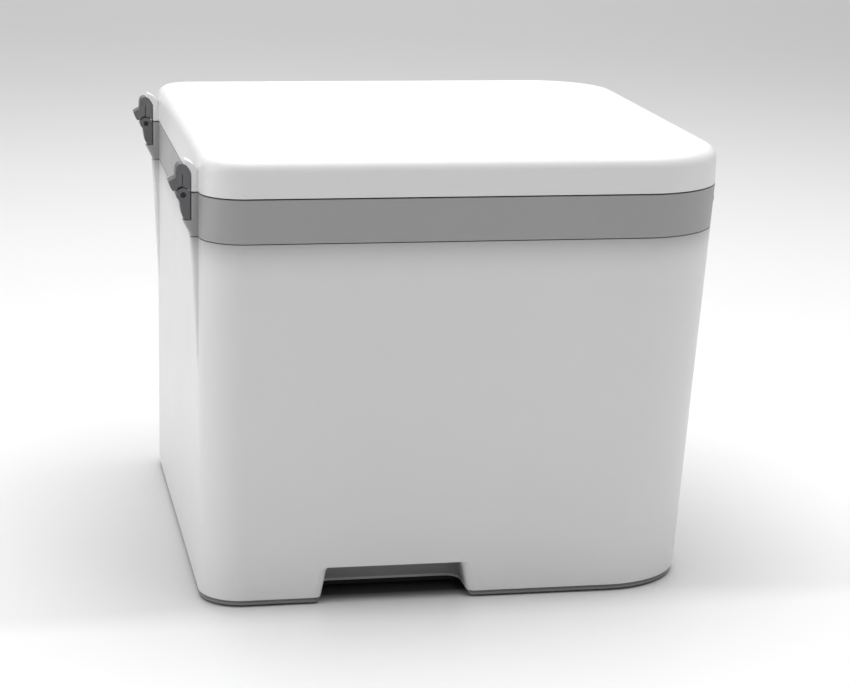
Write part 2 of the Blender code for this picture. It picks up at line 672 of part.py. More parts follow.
def make_heater(grey, black, copper):
    half = DUCT_SIZE / 2
    plate = upright((DUCT_SIZE, DUCT_SIZE), GRILLE_X, 4.0, (0.0, DUCT_Z))
    add_part("air_grille", cut(plate, *slots_x(GRILLE_X, 11, 7.0, 36.0)), grey)

    inner = half - DUCT_WALL
    duct = upright((DUCT_SIZE, DUCT_SIZE), DUCT_X, 4.0, (0.0, DUCT_Z))
    bore = box((DUCT_X[0] - 2, -inner, DUCT_Z - inner), (DUCT_X[1] + 2, inner, DUCT_Z + inner))
    add_part("heater_duct", cut(duct, bore), grey)

    size = inner - 0.4
    core = box((HEATER_X[0], -size, DUCT_Z - size), (HEATER_X[1], size, DUCT_Z + size))
    fins = slots_x(HEATER_X, 9, 9.0, size - 4, 6.0)
    add_part("ptc_heater", cut(core, *fins), copper)

    frame = upright((DUCT_SIZE, DUCT_SIZE), FAN_X, 5.0, (0.0, DUCT_Z))
    throat = rod("X", (0, 0, DUCT_Z), FAN_X[0] - 2, FAN_X[1] + 2, FAN_BORE_R, 32)
    hub = rod("X", (0, 0, DUCT_Z), IMPELLER_X[1] + 1.0, FAN_X[1], FAN_HUB_R, 20)
    struts = [turned_tool(box((FAN_X[1] - 5.3, 10.0, -2.0), (FAN_X[1], FAN_BORE_R + 1, 2.0)),
                          Matrix.Translation((0, 0, DUCT_Z)) @ Matrix.Rotation(turn, 4, "X"))
              for turn in (math.radians(45 + 90 * k) for k in range(4))]
    add_part("fan_frame", join(cut(frame, throat), hub, *struts), black)

    axis = (sum(IMPELLER_X) / 2, 0.0, DUCT_Z)
    low, high = IMPELLER_X
    nose, side = ROTOR_R
    rotor = turned("X", (0, 0, DUCT_Z), ((low, nose), (low + 2, side), (high, side)), 20)
    thickness, chord = BLADE_SIZE
    blades = []
    for k in range(FAN_BLADES):
        pitch = Matrix.Rotation(2 * math.pi * k / FAN_BLADES, 4, "X")
        twist = Matrix.Rotation(math.radians(BLADE_TWIST), 4, "Z")
        blade = box((-thickness / 2, -chord / 2, nose - 1.0),
                    (thickness / 2, chord / 2, IMPELLER_R - 1.0))
        blades.append(turned_tool(blade, Matrix.Translation(axis) @ pitch @ twist))
    add_part("fan_impeller", join(rotor, *blades), black, axis)


# ---------------------------------------------------------------- desiccant cassette

def make_cassette(white, grey):
    """A lift-out box in the deck, through which the air returns to the fan."""
    (x0, x1), half = CASSETTE_X, CASSETTE_HALF_Y
    low, high = CASSETTE_Z
    deck, rim, wall = DECK_Z[1] + GAP, CASSETTE_RIM, CASSETTE_WALL
    case = box((x0, -half, low), (x1, half, high))
    flange = box((x0 - rim, -half - rim, deck), (x1 + rim, half + rim, high))
    inside = box((x0 + wall, -half + wall, low + wall), (x1 - wall, half - wall, high + 1))
    count, first, pitch = CASSETTE_SLOTS
    places = [x0 + first + pitch * k for k in range(count)]
    slots = [box((x - SLOT / 2, -half + 6, low - 1), (x + SLOT / 2, half - 6, low + wall + 1))
             for x in places]
    add_part("desiccant_cassette", cut(join(case, flange), inside, *slots), grey)
    x0, x1, half = x0 + wall + GAP, x1 - wall - GAP, half - wall - GAP
    cover = box((x0, -half, high - 0.2 - COVER_THICKNESS), (x1, half, high - 0.2))
    drop, thin = COVER_SKIRT
    skirt = [box((x, -half, high - drop), (x + thin, half, high - 1)) for x in (x0, x1 - thin)]
    middle = sum(CASSETTE_X) / 2
    slots = [box((x - SLOT / 2, -half + 5, high - 9), (x + SLOT / 2, half - 5, high + 1))
             for x in places if abs(x - middle) > 2 * SLOT]
    length, rise = COVER_PULL
    pull = box((middle - SLOT / 2, -length / 2, high - 2),
               (middle + SLOT / 2, length / 2, high + rise))
    add_part("cassette_cover", cut(join(cover, *skirt, pull), *slots), white)


def make_sensor(white):
    x = TUB_X[1] - GAP
    (y0, z0), (y1, z1) = SENSOR_BOX
    case = box((x - SENSOR_DEPTH, y0, z0), (x, y1, z1))
    vents = [box((x - SENSOR_DEPTH - 1, y0 + 4, z), (x - 3.5, y1 - 4, z + 2))
             for z in SENSOR_VENTS]
    add_part("humidity_sensor", cut(case, *vents), white)


# ---------------------------------------------------------------- controls

def make_controls(black, glass, white, green):
    frame = leaning_frame(PANEL_Z)
    width, height = PANEL_SIZE
    face = upright((width - 2 * GAP, height - 2 * GAP), (-PANEL_DEPTH, 0.0), 6.0 - GAP)
    flange = upright((width + 8, height + 8), (-PANEL_DEPTH - 0.5, -WALL - GAP), 8.0)
    seat = upright((WINDOW_SIZE[0], WINDOW_SIZE[1]), (-1.8, 2.0), 2.0, (WINDOW_Y, 0.0))
    sight = upright((WINDOW_SIZE[0] - 6, WINDOW_SIZE[1] - 6), (-9, 2.0), 2.0, (WINDOW_Y, 0.0))
    guides = [rod("X", (0, y, 0), -9, 4, BUTTON_R + GAP, 20) for y in BUTTON_YS]
    panel = cut(join(face, flange), seat, sight, *guides)
    add_part("control_panel", panel, black, turn=frame)

    pane_size = (WINDOW_SIZE[0] - 2 * GAP, WINDOW_SIZE[1] - 2 * GAP)
    pane = upright(pane_size, (-1.8 + GAP, -0.1), 2.0 - GAP, (WINDOW_Y, 0.0))
    add_part("display_window", pane, glass, turn=frame)

    for number, y in enumerate(BUTTON_YS, 1):
        foot, shoulder, collar = BUTTON_COLLAR
        profile = ((foot, collar), (shoulder, collar), (shoulder, BUTTON_R), (0.2, BUTTON_R),
                   (0.8, BUTTON_R - 0.6))
        cap = turned("X", (0, y, 0), profile, 20)
        bmesh.ops.transform(cap, matrix=frame, verts=cap.verts)
        add_part(f"button_{number}", cap, white, frame @ Vector((0, y, 0)))

    (back, front), ((y0, z0), (y1, z1)) = BOARD_X, BOARD_YZ
    board = box((back, y0, z0), (front, y1, z1))
    display = box((front - 0.2, WINDOW_Y - 28, -10), (-PANEL_DEPTH - 1, WINDOW_Y + 28, 10))
    switch_top = BUTTON_COLLAR[0] - BUTTON_TRAVEL - GAP
    switches = [box((front - 0.2, y - 3, -3), (switch_top, y + 3, 3)) for y in BUTTON_YS]
    relay, terminals = box((-18, 50, -20), (-12, 68, -8)), box((-16, -66, 8), (-12, -40, 18))
    parts = [display, *switches, relay, terminals]
    add_part("control_board", join(board, *parts), green, turn=frame)


def make_outlets(grey):
    """Four push-in filament outlets through the collar, one to each spool."""
    frame = leaning_frame(OUTLET_Z)
    for number, y in enumerate(BAY_YS, 1):
        profile = ((-7.0, 4.2), (GAP, 4.2), (GAP, OUTLET_R), (2.0, OUTLET_R), (2.0, 4.4),
                   (OUTLET_TIP, 4.4), (OUTLET_TIP, TUBE_R), (-7.0, TUBE_R))
        fitting = turned("X", (0, y, 0), profile, 16, closed=True)
        add_part(f"filament_outlet_{number}", fitting, grey, turn=frame)


# ---------------------------------------------------------------- power and vent

def make_power(black, steel):
    frame = side_frame(INLET_PLACE)
    width, height = INLET_SIZE
    face = upright((width + 6, height + 6), (GAP, 2.0), 3.0, axis="Y")
    shroud = upright((width - 2 * GAP, height - 2 * GAP), (-24.0, 1.0), 3.0 - GAP, axis="Y")
    socket = prism_y([(-12, -8), (12, -8), (12, 4), (8, 8), (-8, 8), (-12, 4)], -17.0, 4.0)
    pins = [box((x - 1, -20, z - 2), (x + 1, -5, z + 2)) for x, z in ((-7, -2), (0, 2), (7, -2))]
    add_part("power_inlet", join(cut(join(face, shroud), socket), *pins), black, turn=frame)

    frame = side_frame(SWITCH_PLACE)
    width, height = SWITCH_SIZE
    face = upright((width + 4, height + 4), (GAP, 2.0), 2.0, axis="Y")
    shroud = upright((width - 2 * GAP, height - 2 * GAP), (-18.0, 1.0), 3.0 - GAP, axis="Y")
    mouth = box((-7.5, -13, -10.5), (7.5, 4, 10.5))
    add_part("switch_frame", cut(join(face, shroud), mouth), black, turn=frame)

    rocker = [(-3.0, -9.5), (1.6, -9.0), (0.2, 0.0), (2.8, 8.0), (-3.0, 9.5)]
    wedge = loft([[(x, y, z) for y, z in rocker] for x in (-7.1, 7.1)])
    pivot = frame @ Vector((0, -5.0, 0))
    hub = rod("X", (0, -5.0, 0), -7.1, 7.1, 3.0, 16)
    rocker_solid = join(wedge, hub)
    bmesh.ops.transform(rocker_solid, matrix=frame, verts=rocker_solid.verts)
    add_part("power_rocker", rocker_solid, black, pivot)

    low, high = SUPPLY_BOX
    supply = box(low, high)
    vents = [box((low[0] + 8 + 8 * k, low[1] + 12, high[2] - 2), (low[0] + 11 + 8 * k, high[1] - 12,
                                                                 high[2] + 1)) for k in range(6)]
    add_part("power_supply", cut(supply, *vents), steel)


def make_vent(white, grey):
    """A slotted vent plate; the shutter behind it closes the slots as it slides along X."""
    frame = side_frame(VENT_PLACE)
    width, height = VENT_SIZE
    places = [VENT_PITCH * (k - (VENT_SLOTS - 1) / 2) for k in range(VENT_SLOTS)]
    face = upright((width - 2 * GAP, height - 2 * GAP), (-3.2, 0.0), 3.0 - GAP, axis="Y")
    flange = upright((width + 8, height + 8), (-4.4, -WALL - GAP), 4.0, axis="Y")
    slots = [box((x - 1.5, -8, -8), (x + 1.5, 4, 17)) for x in places]
    track = box((-6.0, -8, -16.5), (6.0 + VENT_TRAVEL, 4, -12.5))
    add_part("vent_grille", cut(join(face, flange), *slots, track), white, turn=frame)

    plate = box((-27, -6.4, -18), (27, -4.4 - GAP, 18.5))
    slots = [box((x - 1.5, -8, -8), (x + 1.5, 0, 17)) for x in places]
    tab = box((-5.6, -5.5, -16.1), (5.6, 1.0, -12.9))
    add_part("vent_shutter", join(cut(plate, *slots), tab), grey, turn=frame)


# ---------------------------------------------------------------- assembly

def build():
    clear_scene()
    white = plastic("white_plastic", (0.86, 0.86, 0.87), 0.35)
    grey = plastic("grey_plastic", (0.30, 0.30, 0.31), 0.45)
    inner_grey = plastic("chamber_plastic", (0.62, 0.63, 0.65), 0.5)
    iron = plastic("dark_plastic", (0.12, 0.12, 0.125), 0.5)
    edging = plastic("base_plastic", (0.20, 0.20, 0.205), 0.5)
    black = plastic("black_plastic", (0.03, 0.03, 0.032), 0.45)
    rubber = plastic("rubber", (0.05, 0.05, 0.05), 0.8)
    steel = plastic("steel", (0.55, 0.56, 0.58), 0.3, 1.0)
    copper = plastic("heater_fins", (0.72, 0.66, 0.58), 0.35, 1.0)
    green = plastic("circuit_board", (0.02, 0.18, 0.08), 0.5)
    glass = plastic("window", (0.04, 0.05, 0.06), 0.1, alpha=0.6)

    make_lid(white, inner_grey, rubber, steel)
    make_hinge("hinge_near", -1, iron, steel)
    make_hinge("hinge_far", 1, iron, steel)
    make_collar(grey, steel)
    make_body(white)
    make_base(edging, rubber)
    make_tub(inner_grey)
    make_rollers(grey, rubber, steel)
    make_heater(grey, black, copper)
    make_cassette(white, grey)
    make_sensor(white)
    make_controls(black, glass, white, green)
    make_outlets(grey)
    make_power(black, steel)
    make_vent(white, grey)


build()
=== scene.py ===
"""Filament dryer box: surfaces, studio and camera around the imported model."""
import json
import math
import random

import bmesh
import bpy
from mathutils import Matrix, Vector

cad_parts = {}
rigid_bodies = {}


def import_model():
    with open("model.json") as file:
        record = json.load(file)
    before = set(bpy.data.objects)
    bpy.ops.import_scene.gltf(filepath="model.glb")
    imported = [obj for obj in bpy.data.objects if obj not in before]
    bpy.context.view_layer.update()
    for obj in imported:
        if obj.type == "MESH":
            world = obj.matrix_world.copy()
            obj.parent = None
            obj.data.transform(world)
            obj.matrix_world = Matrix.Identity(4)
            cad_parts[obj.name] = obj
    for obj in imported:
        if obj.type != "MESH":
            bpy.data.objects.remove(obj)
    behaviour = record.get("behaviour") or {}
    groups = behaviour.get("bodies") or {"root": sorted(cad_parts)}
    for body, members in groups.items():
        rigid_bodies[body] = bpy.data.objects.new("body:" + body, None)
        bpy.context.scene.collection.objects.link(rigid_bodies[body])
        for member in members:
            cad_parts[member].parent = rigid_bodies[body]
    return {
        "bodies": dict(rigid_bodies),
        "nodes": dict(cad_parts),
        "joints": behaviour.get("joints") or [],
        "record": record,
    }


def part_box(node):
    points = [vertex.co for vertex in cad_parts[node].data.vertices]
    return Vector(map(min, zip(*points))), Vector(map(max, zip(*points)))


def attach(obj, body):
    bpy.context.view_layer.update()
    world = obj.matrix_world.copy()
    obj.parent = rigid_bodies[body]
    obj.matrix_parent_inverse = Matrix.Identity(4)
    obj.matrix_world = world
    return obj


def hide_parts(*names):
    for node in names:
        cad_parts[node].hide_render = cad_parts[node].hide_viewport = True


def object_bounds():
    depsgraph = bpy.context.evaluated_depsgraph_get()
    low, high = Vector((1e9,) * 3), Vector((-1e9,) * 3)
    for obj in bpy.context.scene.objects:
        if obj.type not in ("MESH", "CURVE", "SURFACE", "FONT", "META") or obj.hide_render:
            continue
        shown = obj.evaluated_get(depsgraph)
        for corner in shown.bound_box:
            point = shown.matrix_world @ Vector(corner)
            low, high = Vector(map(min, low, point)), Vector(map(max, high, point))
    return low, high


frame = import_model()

CAD_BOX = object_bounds()
MM = 0.001
NODES = frame["nodes"]
BODY_OF = {node: body for body, nodes in frame["record"]["behaviour"]["bodies"].items()
           for node in nodes}
SLOT_OF = {part["node"]: part["material_slot"] for part in frame["record"]["subparts"]}

# Where the CAD puts things that have no joint of their own, in metres, and the walls' leans
PANEL_PLACE = (0.1792, 0.0, 0.195)
OUTLET_PLACES = [(0.18294, y, 0.2596) for y in (-0.1162, -0.0398, 0.0398, 0.1162)]
ROCKER_PLACE = (0.086, 0.18092, 0.082)
USER_TILT = math.atan(0.058)
SIDE_TILT = math.atan(0.016)
GRIP_MIDDLE = -0.0402

# The user's panel, in millimetres in the frame at PANEL_PLACE: X outwards, Z up the wall
KEY_YS = (22.0, 40.0, 58.0)
LAMP_RISE = 15.0
DISPLAY_DEPTHS = (-5.45, -5.15)
DIGIT_SIZE = (6.6, 13.0)
DIGIT_STROKE = 1.5
READINGS = (("5", -56.0), ("0", -46.0), ("2", -27.0), ("4", -17.0))

# How much of a surface's colour the painted shade takes away at its deepest
COLLAR_SHADE = 0.42
GRIP_WALL_SHADE = 0.52
GRIP_BASE_SHADE = 0.93
GRIP_FLOOR_SHADE = 0.92
FLOOR_SHADE = 0.2
# Where it lies, in metres: between these heights, and so far along X from GRIP_MIDDLE
COLLAR_SHADE_HEIGHTS = (0.216, 0.2455)
GRIP_SHADE_REACH = 0.053

# The camera: place in metres, aim and roll in degrees, focal length in millimetres
CAMERA_PLACE = (-0.32183, -1.67593, 0.55652)
CAMERA_YAW = 11.276
CAMERA_PITCH = 13.984
CAMERA_ROLL = 1.295
CAMERA_LENS = 101.98


# ---------------------------------------------------------------- materials

class Recipe:
    """A Principled material and short ways to wire procedural detail into it."""

    def __init__(self, name, roughness=0.5, metallic=0.0, **sockets):
        self.material = bpy.data.materials.new(name)
        self.material.use_nodes = True
        self.tree = self.material.node_tree
        self.shader = self.tree.nodes["Principled BSDF"]
        self.shader.inputs["Roughness"].default_value = roughness
        self.shader.inputs["Metallic"].default_value = metallic
        for socket, value in sockets.items():
            self.shader.inputs[socket.replace("_", " ")].default_value = value
        self.place = self.tree.nodes.new("ShaderNodeTexCoord").outputs["Object"]

    def node(self, kind, settings=None, **inputs):
        item = self.tree.nodes.new("ShaderNode" + kind)
        for name, value in (settings or {}).items():
            setattr(item, name, value)
        for name, value in inputs.items():
            socket = item.inputs[name.replace("_", " ")]
            if isinstance(value, bpy.types.NodeSocket):
                self.tree.links.new(value, socket)
            else:
                socket.default_value = value
        return item

    def stretched(self, x, y, z):
        return self.node("Mapping", Vector=self.place, Scale=(x, y, z)).outputs["Vector"]

    def noise(self, size_mm, detail=2.0, vector=None, roughness=0.5):
        """Noise whose features are about size_mm across."""
        return self.node("TexNoise", Vector=vector or self.place, Scale=1000.0 / size_mm,
                         Detail=detail, Roughness=roughness).outputs["Fac"]

    def spread(self, value, low, high, start=0.3, end=0.7):
        """Carry a 0 to 1 pattern into a range."""
        return self.node("MapRange", Value=value, From_Min=start, From_Max=end,
                         To_Min=low, To_Max=high).outputs["Result"]

    def blend(self, factor, first, second):
        mix = self.node("Mix", {"data_type": "RGBA"})
        self.link(factor, mix.inputs[0])
        for socket, colour in ((mix.inputs[6], first), (mix.inputs[7], second)):
            if isinstance(colour, bpy.types.NodeSocket):
                self.link(colour, socket)
            else:
                socket.default_value = (*colour, 1.0)
        return mix.outputs[2]

    def link(self, output, target):
        self.tree.links.new(output, target)

    def product(self, first, *others):
        for other in others:
            times = self.node("Math", {"operation": "MULTIPLY"}, Value=first)
            self.link(other, times.inputs[1])
            first = times.outputs[0]
        return first

    def colour(self, output):
        self.link(output, self.shader.inputs["Base Color"])

    def gloss(self, output):
        self.link(output, self.shader.inputs["Roughness"])

    def relief(self, height, depth_mm, strength=1.0, under=None):
        """Add relief of a depth, over an earlier relief if there is one."""
        bump = self.node("Bump", Height=height, Distance=depth_mm * MM, Strength=strength)
        if under is not None:
            self.link(under, bump.inputs["Normal"])
        self.link(bump.outputs["Normal"], self.shader.inputs["Normal"])
        return bump.outputs["Normal"]

    def edges(self, low=0.53, high=0.6):
        """1 on worn outer edges, 0 elsewhere."""
        pointiness = self.node("NewGeometry").outputs["Pointiness"]
        return self.spread(pointiness, 0.0, 1.0, low, high)


def shade(colour, factor):
    return tuple(min(c * factor, 1.0) for c in colour)


def inside(recipe, value, low, high, soft):
    """1 where a value lies between two limits, falling to 0 over a soft edge outside each."""
    rising = recipe.spread(value, 0.0, 1.0, low - soft, low)
    falling = recipe.spread(value, 1.0, 0.0, high, high + soft)
    return recipe.product(rising, falling)


def grip_painted_shade(recipe, strength, z_range, y_range):
    """Painted shade gathered deep in the two hand grips, between two heights and two depths."""
    axes = recipe.node("SeparateXYZ", Vector=recipe.place).outputs
    away = recipe.node("Math", {"operation": "ABSOLUTE"}, Value=axes["Y"]).outputs[0]
    depth = recipe.spread(away, 1.0, 0.0, *y_range)
    low = inside(recipe, axes["Z"], *z_range, 0.0008)
    along = inside(recipe, axes["X"], GRIP_MIDDLE - GRIP_SHADE_REACH,
                   GRIP_MIDDLE + GRIP_SHADE_REACH, 0.003)
    return recipe.spread(recipe.product(depth, low, along), 0.0, strength, 0.0, 1.0)


def body_painted_shade(recipe):
    """0 on open walls, more painted shade just under the collar and deep in the hand grips."""
    height = recipe.node("SeparateXYZ", Vector=recipe.place).outputs["Z"]
    # Painted shade just under the collar, deepest at its foot
    near_collar = recipe.spread(height, 0.0, 1.0, *COLLAR_SHADE_HEIGHTS)
    collar = recipe.node("Math", {"operation": "POWER"}, Value=near_collar)
    collar.inputs[1].default_value = 2.6
    shadow = recipe.node("Math", {"operation": "MULTIPLY_ADD"}, Value=collar.outputs[0])
    shadow.inputs[1].default_value = COLLAR_SHADE
    # Painted shade on the grips' walls from 6.6 mm up, so the walls' foot stays pale
    grips = grip_painted_shade(recipe, GRIP_WALL_SHADE, (0.0066, 0.029), (0.160, 0.178))
    recipe.link(grips, shadow.inputs[2])
    return shadow.outputs[0]


def base_painted_shade(recipe):
    """0 on the outer strip, painted shade on the strip inside the hand grips."""
    return grip_painted_shade(recipe, GRIP_BASE_SHADE, (0.0, 0.004), (0.168, 0.180))


def moulded(name, colour, roughness, grain=0.7, depth=0.01, mottle=0.02, wear=0.15, painted_shade=None,
            **sockets):
    """Injection-moulded plastic: fine grain, faint flow marks, edges rubbed paler, and painted
    shade where a mask for it is given.
    """
    recipe = Recipe(name, roughness, **sockets)
    flow = recipe.noise(90.0, 3.0, recipe.stretched(1.0, 1.0, 0.35))
    base = recipe.blend(recipe.spread(flow, 0.0, 1.0), shade(colour, 1 - mottle),
                        shade(colour, 1 + mottle))
    speck = recipe.spread(recipe.noise(2.2, 4.0), 0.0, 0.5, 0.45, 0.75)
    base = recipe.blend(speck, base, shade(colour, 1 - 1.5 * mottle))
    worn = recipe.node("Math", {"operation": "MULTIPLY"})
    recipe.link(recipe.edges(), worn.inputs[0])
    worn.inputs[1].default_value = wear
    final = recipe.blend(worn.outputs[0], base, shade(colour, 1.35))
    # Painted shade: the colour goes towards black where the given mask is high
    if painted_shade:
        final = recipe.blend(painted_shade(recipe), final, (0.0, 0.0, 0.0))
    recipe.colour(final)
    smudge = recipe.noise(35.0, 5.0, roughness=0.65)
    recipe.gloss(recipe.spread(smudge, roughness * 0.88, roughness * 1.14))
    soft = recipe.relief(recipe.noise(24.0, 1.0), 0.03, 0.35)
    recipe.relief(recipe.noise(grain, 3.0, roughness=0.6), depth, 0.8, soft)
    return recipe.material


def rubber(name, colour):
    recipe = Recipe(name, 0.72)
    dust = recipe.spread(recipe.noise(6.0, 6.0, roughness=0.7), 0.0, 0.6, 0.45, 0.75)
    recipe.colour(recipe.blend(dust, colour, shade(colour, 1.9)))
    recipe.gloss(recipe.spread(recipe.noise(4.0, 4.0), 0.62, 0.84))
    recipe.relief(recipe.noise(0.5, 3.0), 0.02, 0.9)
    return recipe.material


def drawn_steel(name, colour, roughness, along):
    """Steel with drawing marks; along is how much each axis is stretched."""
    recipe = Recipe(name, roughness, 1.0)
    lines = recipe.noise(0.5, 4.0, recipe.stretched(*along))
    recipe.colour(recipe.blend(recipe.spread(lines, 0.0, 1.0), shade(colour, 0.86), colour))
    recipe.gloss(recipe.spread(recipe.noise(5.0, 5.0), roughness * 0.8, roughness * 1.3))
    recipe.relief(lines, 0.004, 0.6)
    return recipe.material


def circuit_board(name):
    """Solder mask over copper tracks, with bare pads."""
    recipe = Recipe(name, 0.35)
    flat = recipe.stretched(0.0, 1.0, 1.0)
    tracks = recipe.node("TexBrick", Vector=flat, Scale=160.0, Mortar_Size=0.012,
                         Color1=(1, 1, 1, 1), Color2=(0.85, 0.85, 0.85, 1),
                         Mortar=(0, 0, 0, 1)).outputs["Color"]
    mask = recipe.blend(tracks, (0.02, 0.2, 0.09), (0.01, 0.1, 0.045))
    dots = recipe.node("TexVoronoi", Vector=flat, Scale=230.0, Randomness=0.15).outputs["Distance"]
    recipe.colour(recipe.blend(recipe.spread(dots, 1.0, 0.0, 0.14, 0.17), mask, (0.75, 0.6, 0.3)))
    recipe.relief(tracks, 0.02, 0.5)
    return recipe.material


def smoked_window(name):
    recipe = Recipe(name, 0.06, Transmission_Weight=0.75, IOR=1.49)
    haze = recipe.noise(20.0, 4.0)
    recipe.colour(recipe.blend(haze, (0.10, 0.12, 0.14), (0.14, 0.16, 0.18)))
    recipe.gloss(recipe.spread(haze, 0.04, 0.09))
    return recipe.material


def glowing(name, colour, strength):
    recipe = Recipe(name, 0.4)
    recipe.colour(recipe.blend(recipe.noise(1.5), shade(colour, 0.8), colour))
    recipe.shader.inputs["Emission Color"].default_value = (*colour, 1.0)
    recipe.shader.inputs["Emission Strength"].default_value = strength
    return recipe.material


def beads(name):
    """Orange silica gel."""
    recipe = Recipe(name, 0.25, Transmission_Weight=0.25, IOR=1.45)
    recipe.colour(recipe.blend(recipe.spread(recipe.noise(4.0), 0, 1), (0.8, 0.28, 0.05),
                               (0.95, 0.5, 0.12)))
    recipe.relief(recipe.noise(1.0), 0.05, 0.6)
    return recipe.material


def make_materials():
    """The record's slots, and the finishes that only the visible detail needs."""
    return {
        "white_plastic": moulded("white_plastic", (0.83, 0.83, 0.835), 0.34, grain=0.8,
                                 depth=0.006, mottle=0.008, wear=0.05),
        # The body's white is painted a little darker than white_plastic, the same plastic as the
        # lid, and carries painted shade under the collar and in the hand grips
        "body_white_painted_shade": moulded("body_white_painted_shade", (0.785, 0.785, 0.79), 0.34, grain=0.8,
                              depth=0.006, mottle=0.008, wear=0.05, painted_shade=body_painted_shade),
        "grey_plastic": moulded("grey_plastic", (0.375, 0.375, 0.38), 0.42, grain=0.7,
                                depth=0.012, mottle=0.02),
        # The base strip carries painted shade where it runs inside the hand grips
        "base_plastic": moulded("base_plastic", (0.26, 0.26, 0.265), 0.4, grain=0.7,
                                depth=0.012, mottle=0.03, painted_shade=base_painted_shade),
        "pin_black": moulded("pin_black", (0.012, 0.012, 0.013), 0.5, grain=0.4, wear=0.6),
        "chamber_plastic": moulded("chamber_plastic", (0.60, 0.61, 0.62), 0.5, mottle=0.02),
        "dark_plastic": moulded("dark_plastic", (0.14, 0.14, 0.145), 0.45, grain=0.6,
                                depth=0.02, mottle=0.06, wear=0.35),
        "black_plastic": moulded("black_plastic", (0.028, 0.028, 0.03), 0.42, grain=0.5,
                                 depth=0.02, mottle=0.1, wear=0.3),
        "rubber": rubber("rubber", (0.035, 0.035, 0.037)),
        "steel": drawn_steel("steel", (0.6, 0.61, 0.63), 0.28, (1.0, 0.05, 1.0)),
        "heater_fins": drawn_steel("heater_fins", (0.78, 0.74, 0.68), 0.35, (0.2, 1.0, 1.0)),
        "circuit_board": circuit_board("circuit_board"),
        "window": smoked_window("window"),
        "beads": beads("beads"),
        "digits": glowing("digits", (0.55, 0.85, 1.0), 3.0),
        "markings": moulded("markings", (0.35, 0.36, 0.38), 0.5, grain=0.4),
        "lamp_on": glowing("lamp_on", (0.25, 1.0, 0.4), 1.6),
        "lamp_off": moulded("lamp_off", (0.55, 0.58, 0.56), 0.2, grain=0.4, mottle=0.05),
        "clear_tube": moulded("clear_tube", (0.78, 0.79, 0.78), 0.28, grain=0.4, mottle=0.03),
    }


# What the finish of a CAD node is called where it isn't its slot's name
FINISHES = {"body_shell": "body_white_painted_shade", "hinge_near_pin": "pin_black",
            "hinge_far_pin": "pin_black"}


# ---------------------------------------------------------------- pieces

def shade_by_angle(mesh, degrees=32.0):
    mesh.shade_smooth()
    mesh.set_sharp_from_angle(angle=math.radians(degrees))


def place_piece(name, solid, finish, body):
    """Make a visible piece from a bmesh in metres, riding on a body."""
    mesh = bpy.data.meshes.new(name)
    bmesh.ops.recalc_face_normals(solid, faces=solid.faces)
    solid.to_mesh(mesh)
    solid.free()
    mesh.materials.append(finish)
    shade_by_angle(mesh)
    piece = bpy.data.objects.new(name, mesh)
    bpy.context.scene.collection.objects.link(piece)
    even = piece.modifiers.new("even_shading", "WEIGHTED_NORMAL")
    even.mode = "FACE_AREA"
    even.keep_sharp = True
    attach(piece, body)
    return piece


def welded(node):
    """A CAD node's mesh as whole flat faces again, with no doubled points."""
    touching = 0.02 * MM
    solid = bmesh.new()
    solid.from_mesh(NODES[node].data)
    bmesh.ops.remove_doubles(solid, verts=solid.verts, dist=touching)
    bmesh.ops.dissolve_degenerate(solid, edges=solid.edges, dist=touching)
    bmesh.ops.dissolve_limit(solid, angle_limit=math.radians(0.6), verts=solid.verts,
                             edges=solid.edges, use_dissolve_boundaries=False)
    return solid


def soften(solid, radius_mm, angle=38.0):
    """Round a solid's hard edges."""
    hard = [edge for edge in solid.edges
            if len(edge.link_faces) == 2 and edge.calc_face_angle(0.0) > math.radians(angle)]
    bmesh.ops.bevel(solid, geom=hard, offset=radius_mm * MM, offset_type="OFFSET",
                    segments=2, profile=0.5, affect="EDGES", clamp_overlap=True)


def refine(node, materials, radius_mm):
    """Replace a CAD node by the same shape with smooth shading, and with rounded edges where
    radius_mm isn't 0.
    """
    solid = welded(node)
    if radius_mm:
        soften(solid, radius_mm)
    finish = materials[FINISHES.get(node, SLOT_OF[node])]
    piece = place_piece(node + "_fine", solid, finish, BODY_OF[node])
    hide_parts(node)


def user_frame(place):
    """X outwards from the leaning user's face, with Y and Z along it."""
    return Matrix.Translation(place) @ Matrix.Rotation(USER_TILT, 4, "Y")


def lathe(solid, profile, frame, steps=32):
    """Turn a closed loop of (x, radius) in millimetres about a frame's X axis."""
    rings = []
    for k in range(steps):
        angle = 2 * math.pi * k / steps
        rings.append([solid.verts.new(frame @ Vector((x * MM, r * MM * math.cos(angle),
                                                      r * MM * math.sin(angle))))
                      for x, r in profile])
    for ring, following in zip(rings, rings[1:] + rings[:1]):
        for k in range(len(profile)):
            after = (k + 1) % len(profile)
            solid.faces.new((ring[k], ring[after], following[after], following[k]))


def slab(solid, outline, depths, frame):
    """A flat outline of (y, z) in millimetres made solid between two depths along X."""
    low, high = ([solid.verts.new(frame @ Vector((x * MM, y * MM, z * MM))) for y, z in outline]
                 for x in depths)
    solid.faces.new(low)
    solid.faces.new(high[::-1])
    for k in range(len(outline)):
        after = (k + 1) % len(outline)
        solid.faces.new((low[k], low[after], high[after], high[k]))


def ring_of(centre, radius, steps=24, start=0.0, stop=360.0):
    """Points on a circle's arc, both ends included when it is open."""
    whole = stop - start >= 360.0
    count = steps if whole else steps + 1
    angles = [math.radians(start + (stop - start) * k / steps) for k in range(count)]
    return [(centre[0] + radius * math.cos(a), centre[1] + radius * math.sin(a)) for a in angles]


def open_ring(centre, outer, inner, start, stop):
    """The outline of a ring with a gap."""
    return (ring_of(centre, outer, 24, start, stop) + ring_of(centre, inner, 24, start, stop)[::-1])


